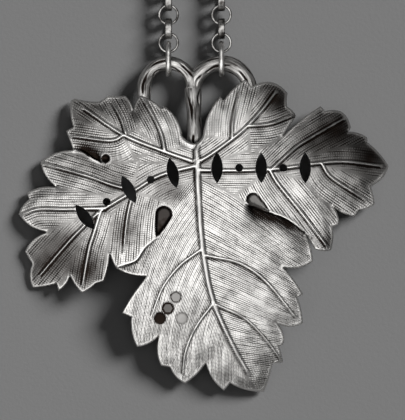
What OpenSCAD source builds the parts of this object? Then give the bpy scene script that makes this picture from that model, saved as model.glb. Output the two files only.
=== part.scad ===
// Silver wine label: a chased vine leaf on a looped stem, with a belcher neck chain.
// It lies on its back. +Z is the front of the leaf, +Y runs from the leaf's tip to the chain.

/* [Leaf] */
// Width of the leaf across its side lobes
leaf_w = 74.2; // [60:0.2:88]
// Height of the leaf from its tip to its upper lobes
leaf_h = 62.6; // [50:0.2:74]
// Thickness of the cast sheet
leaf_t = 1.1; // [0.9:0.1:1.6]
// Radius of the dome that the leaf is raised to
dome_r = 97; // [80:1:140]
// Thickness of the midrib at the stalk
vein_d = 1.5; // [1:0.1:1.6]
// Height of a vein above the sheet
vein_h = 0.5; // [0.3:0.05:0.6]
// Depth of the two teardrop hollows
hollow_depth = 0.6; // [0.3:0.1:0.8]

/* [Pierced band] */
// Height of an upright pierced oval
oval_h = 6.2; // [4:0.2:7]
// Width of an upright pierced oval
oval_w = 2.3; // [1.4:0.1:2.8]
// Diameter of the round hole between two ovals
bead_d = 1.6; // [0.8:0.1:2]

/* [Vine stem] */
// Radius of the left eye, to the middle of its stem
eye_left_r = 4.9; // [4.4:0.1:5.6]
// Radius of the right eye, to the middle of its stem
eye_right_r = 5.7; // [5:0.1:6.4]
// Thickness of the stem round the left eye
stem_left_d = 2.4; // [1.8:0.1:2.8]
// Thickness of the stem round the right eye
stem_right_d = 2.8; // [2:0.1:3.2]
// Thickness of the stalk between the eyes
stalk_d = 2.6; // [2:0.1:3]
// Reach of the stem past an eye, behind its lobe
stem_tail = 4; // [3:0.2:6]

/* [Jump rings] */
// Thickness of the ring's wire
ring_wire_d = 1.1; // [0.7:0.1:1.2]
// Distance from the stem's middle to the ring's upper wire
ring_reach = 4; // [3.8:0.1:5]
// Gap between the ring and the thicker stem
ring_gap = 0.25; // [0.15:0.05:0.4]
// Gap between the ring and the table
ring_lift = 0.1; // [0.05:0.05:0.4]

/* [Chain] */
// Outside diameter of a link
link_d = 4.2; // [3.8:0.1:4.8]
// Thickness of a link's wall
link_t = 0.5; // [0.4:0.05:0.55]
// Width of a link along its own axis
link_w = 1.4; // [1:0.1:1.4]
// Gap between two links that hang in each other
link_gap = 0.4; // [0.35:0.05:0.5]
// Distance from the ring's upper wire to the middle of the first link
link_lead = 0.15; // [0:0.05:0.3]
// Flat links in each strand
flat_links = 9; // [5:1:11]

/* [Hidden] */
$fn = 48;
SILVER = "silver";
DARK_SILVER = "darkgray";

// Margin of the leaf, clockwise from the stalk notch, drawn about the crown at the nominal size.
// Each row is a tip or a notch and the bulge of the edge that follows it, as a share of its length.
UPPER_RIGHT = [
    [-1.0, 9.2, -0.14], [0.6, 11.2, 0.08], [4.0, 18.7, 0], [4.7, 17.9, 0.05], [9.0, 22.2, 0.1],
    [10.2, 20.6, 0.22], [17.5, 19.4, -0.04], [17.4, 16.6, 0.1], [19.2, 14.8, 0], [16.4, 10.5, 0.04]];
RIGHT = [
    [24.2, 16.8, 0], [25.0, 15.8, 0.27], [30.2, 12.6, 0.1], [29.6, 11.7, 0.08], [33.4, 10.6, 0.1],
    [33.5, 9.6, 0.05], [37.8, 4.8, 0.13], [34.2, 0.8, 0.03], [35.0, -2.8, 0.1], [31.8, -4.0, 0],
    [31.0, -5.3, 0.08], [26.4, -3.2, 0.12], [27.8, -6.8, 0.1], [26.5, -7.3, 0.06], [26.2, -12.0, 0.1],
    [23.0, -11.8, 0], [21.2, -9.0, 0.04]];
CENTRE = [
    [22.6, -14.2, 0.13], [16.6, -15.4, 0.03], [20.6, -20.8, 0.1], [19.4, -21.3, 0.04], [20.6, -26.6, 0.15],
    [15.4, -26.6, 0.12], [16.8, -30.6, 0.1], [15.8, -31.2, 0.03], [16.6, -34.4, 0.1], [14.6, -34.5, 0.03],
    [12.8, -40.4, 0.08], [6.0, -38.7, 0.03], [4.8, -40.2, 0.1], [1.2, -34.6, 0.06], [-3.0, -38.8, 0.1],
    [-6.0, -35.5, 0], [-7.8, -35.2, 0.1], [-8.2, -29.2, 0.1], [-12.6, -31.4, 0.08], [-13.7, -25.4, 0],
    [-15.6, -24.6, 0.03], [-10.6, -17.2, 0.08], [-16.8, -15.6, 0.03], [-18.0, -12.6, 0.04]];
LEFT = [
    [-19.2, -18.2, 0], [-20.8, -18.7, 0.05], [-23.6, -20.6, 0.06], [-26.0, -17.2, 0.1], [-28.4, -20.2, 0],
    [-28.8, -18.7, 0.04], [-33.6, -19.6, 0.12], [-33.7, -14.8, 0], [-35.2, -12.4, 0.12], [-30.6, -8.4, 0.12],
    [-36.4, -4.8, 0.08], [-34.3, -1.9, 0], [-34.7, -0.6, 0.1], [-28.8, 0.6, 0.1], [-32.0, 5.6, 0.1],
    [-25.4, 8.0, 0]];
UPPER_LEFT = [
    [-26.8, 11.8, 0.05], [-25.4, 12.6, 0.06], [-26.0, 17.6, 0.15], [-24.8, 18.3, -0.05], [-20.0, 17.7, 0],
    [-18.4, 18.9, -0.03], [-14.9, 18.9, 0.1], [-13.3, 16.0, 0.1], [-11.9, 18.9, 0.07], [-7.7, 16.3, 0],
    [-7.2, 16.8, 0.12], [-3.6, 10.9, -0.1]];
MARGIN = concat(UPPER_RIGHT, RIGHT, CENTRE, LEFT, UPPER_LEFT);

// Veins from stalk to margin: the first value is the width at the start, as a share of the midrib's.
VEINS = [
    [1.0, [[-0.6, 8.0], [-0.2, -2], [0.6, -12], [2.6, -22], [6.6, -31], [9.6, -36.4]]],
    [0.7, [[0.3, -11.8], [-4, -15], [-7.4, -19.4], [-9.6, -25]]],
    [0.7, [[1.2, -13], [8, -14.6], [13.4, -18.4], [19, -25.2]]],
    [0.6, [[2.8, -22.4], [-0.6, -27], [-2.8, -32], [-3.4, -36.6]]],
    [0.6, [[3.2, -22.8], [9, -25.6], [13, -29.6], [16, -33.6]]],
    [0.8, [[-1.6, 5.8], [-6.8, 7.6], [-15.2, 11], [-23, 16.2]]],
    [0.6, [[-14.8, 11.4], [-15.8, 14.4], [-17.6, 17.6]]],
    [0.6, [[-15.2, 11], [-18, 9.9], [-25.4, 10.8]]],
    [0.6, [[-7, 7.8], [-8, 12], [-10.8, 17.4]]],
    [0.8, [[-1, 4.8], [-8, 2.9], [-13.4, -0.3], [-20.2, -4.4]]],
    [0.6, [[-19, -3.6], [-26.8, -3.8], [-32.4, -3.8], [-35.4, -4.8]]],
    [0.6, [[-13.6, 0], [-18, 1.2], [-22.4, 2.8], [-31, 5.2]]],
    [0.6, [[-20.4, -4.6], [-24.6, -8.6], [-28.4, -12.8], [-32, -17]]],
    [0.6, [[-19.8, -4.2], [-21.2, -8.8], [-22.2, -12], [-23.4, -18.6]]],
    [0.5, [[-13.2, -0.4], [-14.2, -4], [-14.8, -8], [-15.2, -12.4]]],
    [0.8, [[-0.2, 4], [5.4, 3.9], [15, 4.2], [27.2, 5.7], [36, 4.9]]],
    [0.6, [[24.4, 5.2], [26.4, 2.4], [33.2, -2]]],
    [0.6, [[14.4, 4.2], [19, 8.4], [22.4, 10.6], [28.6, 14.2]]],
    [0.7, [[13.8, 4.2], [15.6, 1.2], [20, -4.2], [25.2, -11]]],
    [0.8, [[-0.4, 5.6], [2.6, 7.4], [8.4, 11.8], [12.4, 16], [15, 19.4]]],
    [0.6, [[6.4, 10.4], [6.6, 14], [7.8, 19.4]]],
    [0.6, [[9.6, 12.8], [14, 13.2], [18.4, 14.8]]]];

// Teardrop hollows: round end, pointed end, and width of the round end. Then the width of the point.
HOLLOWS = [[[-7.2, -5.2], [-8.5, -9.2], 3], [[10.6, -1.8], [13.6, -4.2], 2.8]];
HOLLOW_POINT = 0.3;

// Raised edges where a side lobe lies over the centre lobe, drawn as short veins.
FOLDS = [
    [0.7, [[10.4, -3.4], [16, -5], [21.4, -8.8]]],
    [0.7, [[-8.4, -9.4], [-11.2, -12], [-13, -14.4], [-16.8, -15.4]]]];

// Top of the dome, the stalk's line and end, and the level of both eyes' tops, in the drawing.
DOME_TOP = [1.5, -6];
STALK_LINE = -1.4;
STALK_FOOT = [-1.0, 10.1];
EYE_LEVEL = 25.4;
// Swelling of the stalk at its fork, and how deep its end is set in solder.
FORK_SWELL = 0.3;
SOLDER = 0.3;
// How deep the upper lobes may lie on the sides of the two eyes.
LOBE_SEAT = 0.9;

// Pieces of a curved edge, and how far a cutter reaches past what it cuts.
EDGE_STEPS = 3;
CUT_OVER = 1;
// How thin a vein is at its end, as a share of its start, and its swelling where two bars meet.
VEIN_TAPER = 0.45;
VEIN_KNOT = 1.08;

// Pierced ovals, and the slope of their row left of the middle.
OVALS = 6;
ROW_START = -23;
ROW_END = 21;
ROW_TOP = 4.4;
ROW_PEAK = 3;
ROW_SLOPE = 0.0145;
// The gap of the row that the midrib passes through.
RIB_GAP = 2;

// Size of the margin as drawn, and its scale to the size that is set.
margin_x = [for (p = MARGIN) p[0]];
margin_y = [for (p = MARGIN) p[1]];
scale_x = leaf_w / (max(margin_x) - min(margin_x));
scale_y = leaf_h / (max(margin_y) - min(margin_y));

// Point between a and b, with the edge swelling outwards by bulge at its middle.
function edge_point(a, b, t) =
    let (along = [b[0] - a[0], b[1] - a[1]], swell = 4 * a[2] * t * (1 - t))
    [a[0] + along[0] * t - along[1] * swell, a[1] + along[1] * t + along[0] * swell];
rim = [for (i = [0:len(MARGIN) - 1])
    for (k = [0:EDGE_STEPS - 1])
        edge_point(MARGIN[i], MARGIN[(i + 1) % len(MARGIN)], k / EDGE_STEPS)];
function to_size(p) = [p[0] * scale_x, p[1] * scale_y];

// Stem: the stalk's axis, the common height of both eyes' tops, and the eyes' middles.
stalk_x = STALK_LINE * scale_x;
eye_top = EYE_LEVEL * scale_y;
ring_in_r = max(stem_left_d, stem_right_d) / 2 + ring_gap;
stem_z = ring_in_r + ring_wire_d + ring_lift;
eye_left = [stalk_x - eye_left_r, eye_top - eye_left_r];
eye_right = [stalk_x + eye_right_r, eye_top - eye_right_r];

// The dome stands so that the leaf's farthest tip just touches the table with its back,
// or higher if its upper lobes would lie too deep on the outer sides of the eyes.
dome_top = to_size(DOME_TOP);
rim_reach = max([for (p = rim) norm(to_size(p) - dome_top)]);
function dome_on(height, p, r) = height - sqrt(r * r - pow(norm(p - dome_top), 2));
function dome_on_eye(middle, r, d, side) =
    dome_on(stem_z, middle + [side * r, 0], dome_r - leaf_t - d / 2 + LOBE_SEAT);
dome_z = max(
    dome_on(0, dome_top + [rim_reach, 0], dome_r - leaf_t),
    dome_on_eye(eye_left, eye_left_r, stem_left_d, -1),
    dome_on_eye(eye_right, eye_right_r, stem_right_d, 1));
// Height over the table, at a point of the drawing, of a dome of radius r with that middle.
function dome_height(p, r) = dome_z + sqrt(r * r - pow(norm(to_size(p) - dome_top), 2));
function on_dome(p, r) = [p[0] * scale_x, p[1] * scale_y, dome_height(p, r)];
// Height of a cutter through the whole leaf.
cutter_h = dome_z + dome_r + vein_h + 2 * CUT_OVER;

// Chain sizes that follow from the links: radius to the middle of the wall, and distance link to link.
link_mid_r = (link_d - link_t) / 2;
link_pitch = link_d - 2 * link_t - link_gap;
link_count = 2 * flat_links - 1;
chain_z = link_d / 2;

// The stalk runs from the fork up to the back of the leaf at the stalk notch, set in solder.
fork = [stalk_x, min(eye_left[1], eye_right[1]), stem_z];
stalk_end = on_dome(STALK_FOOT, dome_r - leaf_t - stalk_d / 2 + SOLDER);

// The strands: their two places across, the first flat link's place and the tilt of the rings.
strand_x = [eye_left[0], eye_right[0]];
first_link_y = eye_top + ring_reach + link_lead;
ring_tilt = asin((stem_z - chain_z) / ring_reach);
// The last side of each strand leans in, so that one link on edge joins the two last flat links.
lean = asin((strand_x[1] - strand_x[0] - 2 * link_pitch) / (4 * link_pitch));
last_straight_y = first_link_y + (flat_links - 2) * 2 * link_pitch;
top_y = last_straight_y + 2 * link_pitch * cos(lean);

// Middle of link number n of the strand on side -1 or 1, and its turn from upright.
function link_place(n, side) =
    let (x = strand_x[side < 0 ? 0 : 1], rise = (n - 1) * link_pitch, over = n - (link_count - 2))
    over <= 0 ? [x, first_link_y + rise]
        : [x - side * over * link_pitch * sin(lean), last_straight_y + over * link_pitch * cos(lean)];
function link_turn(n, side) = n > link_count - 2 ? side * lean : 0;

// The origin is under the middle of the whole label and chain.
origin_x = (max(margin_x) + min(margin_x)) / 2 * scale_x;
origin_y = (top_y + link_d / 2 + min(margin_y) * scale_y) / 2;

function numbered(prefix, n) = str(prefix, n < 10 ? "0" : "", n);
LINK_NODES = [for (side = ["link_left_", "link_right_"]) for (n = [1:link_count]) numbered(side, n)];

// The domed sheet, cut to the margin.
module leaf_sheet() {
    middle = [dome_top[0], dome_top[1], dome_z];
    intersection() {
        difference() {
            translate(middle) sphere(dome_r, $fn = 240);
            translate(middle) sphere(dome_r - leaf_t, $fn = 240);
        }
        translate([0, 0, -CUT_OVER]) linear_extrude(cutter_h) polygon([for (p = rim) to_size(p)]);
    }
}

// A round bar from point a to point b.
module bar(a, b, d1, d2) {
    run = b - a;
    translate(a) rotate([0, acos(run[2] / norm(run)), atan2(run[1], run[0])])
        cylinder(d1 = d1, d2 = d2, h = norm(run), $fn = 32);
}

// A vein: tapered bars and round knots sunk in the sheet, with only their tops standing out.
module vein(d, points) {
    steps = len(points) - 1;
    function thick(k) = d * (1 - (1 - VEIN_TAPER) * k / steps);
    function knot(k) = on_dome(points[k], dome_r + min(vein_h, thick(k) / 2) - thick(k) / 2);
    for (k = [0:steps - 1]) bar(knot(k), knot(k + 1), thick(k), thick(k + 1));
    for (k = [0:steps]) translate(knot(k)) sphere(d = VEIN_KNOT * thick(k), $fn = 32);
}

// A teardrop hollow pressed into the front.
module hollow(h) {
    hull() {
        translate(on_dome(h[0], dome_r)) scale([1, 1, 2 * hollow_depth / h[2]]) sphere(d = h[2], $fn = 20);
        translate(on_dome(h[1], dome_r)) sphere(d = HOLLOW_POINT, $fn = 8);
    }
}

// The pierced band: upright pointed ovals in a row, with round holes between them.
function row_x(i) = ROW_START + (ROW_END - ROW_START) * i / (OVALS - 1);
function row_point(x) = [x, ROW_TOP - ROW_SLOPE * pow(min(x - ROW_PEAK, 0), 2)];
function row_angle(x) = atan(-2 * ROW_SLOPE * min(x - ROW_PEAK, 0));
module pointed_oval(h, w) {
    r = (h * h + w * w) / (4 * w);
    intersection() {
        translate([r - w / 2, 0]) circle(r);
        translate([w / 2 - r, 0]) circle(r);
    }
}
module pierced_band() {
    for (i = [0:OVALS - 1])
        translate(to_size(row_point(row_x(i)))) rotate(row_angle(row_x(i))) pointed_oval(oval_h, oval_w);
    for (i = [0:OVALS - 2]) if (i != RIB_GAP)
        let (x = (row_x(i) + row_x(i + 1)) / 2)
        translate(to_size(row_point(x))) circle(d = bead_d, $fn = 20);
}

module leaf() {
    color(SILVER) difference() {
        union() {
            leaf_sheet();
            for (v = concat(VEINS, FOLDS)) vein(v[0] * vein_d, v[1]);
        }
        for (h = HOLLOWS) hollow(h);
        translate([0, 0, -CUT_OVER]) linear_extrude(cutter_h) pierced_band();
    }
}

// One eye: a round loop of stem from the stalk, over the top and down behind its lobe.
module eye(middle, r, d, side) {
    translate([middle[0], middle[1], stem_z]) {
        rotate_extrude(angle = 180) translate([r, 0]) circle(d = d);
        translate([side * r, 0, 0]) rotate([90, 0, 0]) cylinder(d = d, h = stem_tail);
    }
}
module vine_stem() {
    color(SILVER) {
        eye(eye_left, eye_left_r, stem_left_d, -1);
        eye(eye_right, eye_right_r, stem_right_d, 1);
        translate(fork) sphere(d = stalk_d + FORK_SWELL);
        bar(fork, stalk_end, stalk_d, stalk_d);
        translate(stalk_end) sphere(d = stalk_d);
    }
}

// A jump ring on edge: an oval of round wire, whose lower end turns about the stem.
module jump_ring(x) {
    r = ring_in_r + ring_wire_d / 2;
    straight = ring_reach - r;
    color(SILVER) translate([x, eye_top, stem_z]) rotate([-ring_tilt, 0, 0]) rotate([0, 90, 0]) {
        rotate([0, 0, 180]) rotate_extrude(angle = 180) translate([r, 0]) circle(d = ring_wire_d);
        translate([0, straight, 0]) rotate_extrude(angle = 180) translate([r, 0]) circle(d = ring_wire_d);
        for (s = [-1, 1]) translate([s * r, 0, 0]) rotate([-90, 0, 0]) cylinder(d = ring_wire_d, h = straight);
    }
}

// A belcher link: a round hoop of flat wire with rounded edges, lying flat or standing on edge.
module hoop() {
    rotate_extrude() translate([link_mid_r, 0]) {
        square([link_t, link_w - link_t], center = true);
        for (s = [-1, 1]) translate([0, s * (link_w - link_t) / 2]) circle(d = link_t);
    }
}
module link(n, side) {
    place = link_place(n, side);
    color(n % 2 == 1 ? SILVER : DARK_SILVER)
        translate([place[0], place[1], chain_z]) rotate(link_turn(n, side))
            rotate([0, n % 2 == 1 ? 0 : 90, 0]) hoop();
}
module link_top() {
    color(DARK_SILVER)
        translate([(strand_x[0] + strand_x[1]) / 2, top_y, chain_z]) rotate([90, 0, 0]) hoop();
}

translate([-origin_x, -origin_y, 0]) {
    leaf();
    vine_stem();
    jump_ring(strand_x[0]);  // ring_left
    jump_ring(strand_x[1]);  // ring_right
    link_top();
    for (n = [1:link_count]) {
        link(n, -1);
        link(n, 1);
    }
}
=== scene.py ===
"""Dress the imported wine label: a chased silver vine leaf, its bark-grooved stem and its neck chain."""
import math
from types import SimpleNamespace

import bpy
import numpy as np
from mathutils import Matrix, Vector
from mathutils.geometry import delaunay_2d_cdt


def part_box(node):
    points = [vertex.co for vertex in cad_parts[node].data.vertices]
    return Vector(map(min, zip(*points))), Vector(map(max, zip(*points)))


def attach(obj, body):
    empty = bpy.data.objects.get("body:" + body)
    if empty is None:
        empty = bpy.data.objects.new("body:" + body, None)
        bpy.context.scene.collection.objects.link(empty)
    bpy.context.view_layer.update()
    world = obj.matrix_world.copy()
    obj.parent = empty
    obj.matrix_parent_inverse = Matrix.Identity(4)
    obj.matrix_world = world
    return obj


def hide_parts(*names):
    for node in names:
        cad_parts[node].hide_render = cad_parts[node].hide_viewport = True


bl_info = {
    "name": "Silver Wine Label",
    "version": (1, 0, 0),
    "blender": (4, 5, 0),
    "location": "View3D > Sidebar > Wine Label",
    "description": "Dresses the packed wine label with chased silver",
    "category": "Object",
}

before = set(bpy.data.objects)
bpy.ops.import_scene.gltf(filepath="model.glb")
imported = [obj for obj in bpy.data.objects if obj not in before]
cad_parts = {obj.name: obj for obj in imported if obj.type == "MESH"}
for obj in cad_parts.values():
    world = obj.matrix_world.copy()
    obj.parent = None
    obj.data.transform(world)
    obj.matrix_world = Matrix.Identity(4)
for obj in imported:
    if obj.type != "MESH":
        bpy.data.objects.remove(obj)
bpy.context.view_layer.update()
MM = 0.001
TAU = 2 * math.pi

# The photograph's frame, in pixels, and the real size of a pixel on the label.
IMAGE_W, IMAGE_H = 405, 420
PIXEL_MM = 0.2
# The pixel where the drawing below has its origin, and the height in pixels that the camera is aimed at.
ORIGIN_X, ORIGIN_Y, AIM_H = 200, 190, 20

# Points to a span of a smooth curve, and to a span of one that is then cut into even steps.
SPAN, FINE_SPAN = 8, 24
# Points that are compared with a path at once, and a distance in millimetres past any on the label.
BLOCK, FAR = 4000, 99.0

# Margin of the leaf in millimetres, clockwise from the stalk notch, drawn about the crown.
# Each row is a tip or a notch and the bulge of the edge that follows it, as a share of its length.
UPPER_RIGHT = [
    [-1.0, 9.2, -0.14], [0.6, 11.2, 0.08], [4.0, 18.7, 0], [4.7, 17.9, 0.05], [9.0, 22.2, 0.1],
    [10.2, 20.6, 0.22], [17.5, 19.4, -0.04], [17.4, 16.6, 0.1], [19.2, 14.8, 0], [16.4, 10.5, 0.04]]
RIGHT = [
    [24.2, 16.8, 0], [25.0, 15.8, 0.27], [30.2, 12.6, 0.1], [29.6, 11.7, 0.08], [33.4, 10.6, 0.1],
    [33.5, 9.6, 0.05], [37.8, 4.8, 0.13], [34.2, 0.8, 0.03], [35.0, -2.8, 0.1], [31.8, -4.0, 0],
    [31.0, -5.3, 0.08], [26.4, -3.2, 0.12], [27.8, -6.8, 0.1], [26.5, -7.3, 0.06], [26.2, -12.0, 0.1],
    [23.0, -11.8, 0], [21.2, -9.0, 0.04]]
CENTRE = [
    [22.6, -14.2, 0.13], [16.6, -15.4, 0.03], [20.6, -20.8, 0.1], [19.4, -21.3, 0.04], [20.6, -26.6, 0.15],
    [15.4, -26.6, 0.12], [16.8, -30.6, 0.1], [15.8, -31.2, 0.03], [16.6, -34.4, 0.1], [14.6, -34.5, 0.03],
    [12.8, -40.4, 0.08], [6.0, -38.7, 0.03], [4.8, -40.2, 0.1], [1.2, -34.6, 0.06], [-3.0, -38.8, 0.1],
    [-6.0, -35.5, 0], [-7.8, -35.2, 0.1], [-8.2, -29.2, 0.1], [-12.6, -31.4, 0.08], [-13.7, -25.4, 0],
    [-15.6, -24.6, 0.03], [-10.6, -17.2, 0.08], [-16.8, -15.6, 0.03], [-18.0, -12.6, 0.04]]
LEFT = [
    [-19.2, -18.2, 0], [-20.8, -18.7, 0.05], [-23.6, -20.6, 0.06], [-26.0, -17.2, 0.1], [-28.4, -20.2, 0],
    [-28.8, -18.7, 0.04], [-33.6, -19.6, 0.12], [-33.7, -14.8, 0], [-35.2, -12.4, 0.12], [-30.6, -8.4, 0.12],
    [-36.4, -4.8, 0.08], [-34.3, -1.9, 0], [-34.7, -0.6, 0.1], [-28.8, 0.6, 0.1], [-32.0, 5.6, 0.1],
    [-25.4, 8.0, 0]]
UPPER_LEFT = [
    [-26.8, 11.8, 0.05], [-25.4, 12.6, 0.06], [-26.0, 17.6, 0.15], [-24.8, 18.3, -0.05], [-20.0, 17.7, 0],
    [-18.4, 18.9, -0.03], [-14.9, 18.9, 0.1], [-13.3, 16.0, 0.1], [-11.9, 18.9, 0.07], [-7.7, 16.3, 0],
    [-7.2, 16.8, 0.12], [-3.6, 10.9, -0.1]]
MARGIN = np.array(UPPER_RIGHT + RIGHT + CENTRE + LEFT + UPPER_LEFT)

# Veins from stalk to margin: half width at the start, in millimetres, and the points on the way.
MIDRIB = 0.62
VEINS = [
    [MIDRIB, [[-0.6, 8.0], [-0.2, -2], [0.6, -12], [2.6, -22], [6.6, -31], [9.6, -36.4]]],
    [0.34, [[0.3, -11.8], [-4, -15], [-7.4, -19.4], [-9.6, -25]]],
    [0.34, [[1.2, -13], [8, -14.6], [13.4, -18.4], [19, -25.2]]],
    [0.31, [[2.8, -22.4], [-0.6, -27], [-2.8, -32], [-3.4, -36.6]]],
    [0.31, [[3.2, -22.8], [9, -25.6], [13, -29.6], [16, -33.6]]],
    [0.38, [[-1.6, 5.8], [-6.8, 7.6], [-15.2, 11], [-23, 16.2]]],
    [0.29, [[-14.8, 11.4], [-15.8, 14.4], [-17.6, 17.6]]],
    [0.29, [[-15.2, 11], [-18, 9.9], [-25.4, 10.8]]],
    [0.38, [[-7, 7.8], [-8, 12], [-10.8, 17.4]]],
    [0.38, [[-1, 4.8], [-8, 2.9], [-13.4, -0.3], [-20.2, -4.4]]],
    [0.38, [[-19, -3.6], [-26.8, -3.8], [-32.4, -3.8], [-35.4, -4.8]]],
    [0.29, [[-13.6, 0], [-18, 1.2], [-22.4, 2.8], [-31, 5.2]]],
    [0.29, [[-20.4, -4.6], [-24.6, -8.6], [-28.4, -12.8], [-32, -17]]],
    [0.38, [[-19.8, -4.2], [-21.2, -8.8], [-22.2, -12], [-23.4, -18.6]]],
    [0.27, [[-13.2, -0.4], [-14.2, -4], [-14.8, -8], [-15.2, -12.4]]],
    [0.38, [[-0.2, 4], [5.4, 3.9], [15, 4.2], [27.2, 5.7], [36, 4.9]]],
    [0.29, [[24.4, 5.2], [26.4, 2.4], [33.2, -2]]],
    [0.29, [[14.4, 4.2], [19, 8.4], [22.4, 10.6], [28.6, 14.2]]],
    [0.29, [[13.8, 4.2], [15.6, 1.2], [20, -4.2], [25.2, -11]]],
    [0.38, [[-0.4, 5.6], [2.6, 7.4], [8.4, 11.8], [12.4, 16], [15, 19.4]]],
    [0.29, [[6.4, 10.4], [6.6, 14], [7.8, 19.4]]],
    [0.29, [[9.6, 12.8], [14, 13.2], [18.4, 14.8]]]]

# Matting of the centre lobe: its axis, then slope and curl of the rows on the right and the left as seen.
CENTRE_AXIS = [[-0.8, 8], [-0.2, -2], [0.6, -12], [2.6, -22], [5.6, -31], [11, -40]]
CENTRE_ROWS = [[0.45, 0.013], [0.65, 0.030]]
# Veins that the rows of the other lobes run along, with a weight on the distance to each.
ROW_VEINS = {5: 1.7, 6: 1, 7: 1, 8: 0.8, 9: 1.7, 10: 1, 11: 1, 12: 1, 13: 1, 14: 1, 15: 1.7, 16: 1, 17: 1, 18: 1,
             19: 1.7, 20: 1, 21: 1}
# Factor on that distance for what lies behind the inner end of a vein.
BEHIND = 2.5

# Lines where one lobe lies over another, with the depth as a share of the deepest fold.
# The covered lobe is on the left of the way along the line.
FOLDS = [
    [1.0, [[21.6, -9.1], [19.2, -7.0], [16.4, -5.3], [12.8, -4.2], [9.2, -2.7]]],
    [0.4, [[-8.6, -9.6], [-11.0, -11.6], [-12.8, -14.2], [-16.8, -15.5]]],
    [0.6, [[-25.8, 8.2], [-23.4, 7.6], [-21.4, 6.2], [-19.4, 5.3]]]]
# Drop of the deepest fold, width of its step, distances at which its drop and its shade fade, and the shade's gain.
FOLD_DROP, FOLD_STEP, FOLD_FADE, FOLD_SHADE, SHADE_GAIN = 1.3, 0.4, 3.0, 2.4, 1.3
# A fold at the margin: share of its depth, and share of the way to the full depth. At its inner end: the length
# over which it runs out, what that gains with the distance from the line, and what is kept on the line.
FOLD_MOUTH, MOUTH_WAY, FOLD_END, END_SPREAD, END_KEPT = 0.4, 0.45, 1.5, 0.9, 0.3
# Rows of points at a vein, as shares of its half width plus a distance, and at a fold; both end outermost.
VEIN_NET = [(0, 0), (0.5, 0), (-0.5, 0), (1, 0), (-1, 0), (-1, -0.14), (1, 0.14), (-1, -0.3), (1, 0.3)]
FOLD_NET = [0, -0.2, 0.2, -0.4, 0.4]
# Distances from the margin at which rows of points follow it: the crest of the rim, and its inner foot.
RIM_NET = (0.22, 0.5)
# Shares of the mesh step: least distance between points of those rows, and of other points from rows and edges.
ROW_MERGE, RIM_CLEAR, NET_CLEAR = 0.45, 0.3, 0.5
# Share of its distance that a point of a margin row keeps from the margin, and the tolerance of the triangles.
RIM_KEPT, WELD = 0.93, 1e-7
# Points of one side of a pierced oval, and of a round hole.
ARC_POINTS, HOLE_POINTS = 16, 24
# What a vein loses of its width and of its height along its way, and the height of a vein of no width.
VEIN_TAPER, VEIN_FALL, VEIN_LEAST = 0.35, 0.4, 0.5
# Section of the midrib and of the other veins: the power of its curve, and its polish.
MIDRIB_FORM, VEIN_FORM = (4, 0.6), (2, 0.85)
# Polish and cut line of a vein on both sides, and what the side adds to them as painted highlight and painted
# shade; width of the midrib's dull top; gains of the side, of the distance and of the crest; and the step at which
# a vein's sides are found.
LIT, ONE_SIDE, DULL_WIDTH = (0.75, 0.25), (0.55, 0.45), 0.65
SIDE_GAIN, LIT_GAIN, CREST_GAIN, SIDE_STEP = 2, 3, 1.4, 0.5
# Bands along an edge: distance past the edge, negative inside it, and width.
CUT_LINE, HEM, RIM_CREST, COLLAR = (0.13, 0.16), (0.15, 0.3), (RIM_NET[0], 0.15), (0.45, 0.4)
HOLLOW_RING, HOLLOW_LIP, PIT_LIP, PUNCH_RING = (-0.1, 0.16), (0.15, 0.2), (0.2, 0.25), (-0.05, 0.2)
# Widths of the walls of recesses, and the width over which their darkness and the matting end.
HOLLOW_WALL, PIT_WALL, PUNCH_WALL, DARK_FADE, ROW_FADE = 0.6, 0.4, 0.3, 0.25, 0.2
# Heights of the collar at the stalk, the hems of folds, and the crests of rim and lips.
COLLAR_H, HEM_H, CREST_H = 0.4, 0.15, 0.06
# Distance at which fields swell, reach of the collar, drop and reach of the margin, and rounding of its edge.
PUFF_REACH, COLLAR_REACH, EDGE_DROP, EDGE_REACH, ROUND_OFF = 2.6, 3.4, 0.2, 1.6, 0.2
# Share of the lobes' keels and folds that the back follows, and its least height over the table.
BACK_SHARE, BACK_LEAST = 0.8, 0.02
# Ridges lower than this don't hide a cut line.
RIDGE_LEAST = 0.02
# Darkness of cut lines, with painted shade on one side, and of the midrib's top; shine of collar, hem and lips,
# which is wear and painted highlight; painted highlight of the rim, bare and with patina and painted shade.
LINE_DARK, DULL_DARK, COLLAR_SHINE, HEM_SHINE, LIP_SHINE, RIM_HIGHLIGHT = 0.9, 0.3, 0.8, 0.75, 0.4, (0.6, 0.35)
# Keel of the lobes along these veins: its height, the distances at which it fades and joins, and how far it sinks.
KEELS, KEEL_H, KEEL_FADE, KEEL_SOFT, KEEL_SINK = (0, 5, 9, 10, 15, 19), 1.0, 6.5, 1.6, 0.45
# Slow waves of the hand-worked sheet: turns to the millimetre along x and y, and start.
WAVES = np.array([[0.16, 0.05, 0.3], [-0.07, 0.19, 1.7], [0.12, -0.15, 4.1], [0.23, 0.11, 2.6], [-0.21, 0.13, 5.2]])
# Side of a vein on which its cut line is deepest and painted darker as shade, and its crest painted brighter as a
# highlight.
PAINTED_LIGHT_SIDE = np.array([-0.6, -0.8])
# How far the axes of the matting are taken to run past their ends.
AXIS_REACH = 15.0
# Pitch of the rows at the start of a vein and its gain on the way; numbers kept for one field; rows in one
# triangle past which it lies on two fields; how far rows fade at the pierced band, and over which distance.
ROW_START_PITCH, ROW_GAIN, FIELD_ROWS, TORN, BAND_CALM, BAND_REACH = 0.8, 0.4, 100, 2, 0.6, 3.0

# Upper limit of the centre lobe, from left to right.
CENTRE_LIMIT = np.array([
    [-18.05, -60], [-18, -15.6], [-12.8, -14.2], [-11, -11.6], [-8.6, -9.6], [-7, -4], [-4, 0.5], [0, 2.5],
    [5, 0], [9.2, -2.7], [12.8, -4.2], [16.4, -5.3], [19.2, -7], [21.6, -9.1], [23, -10], [23.05, -60]])
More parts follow.
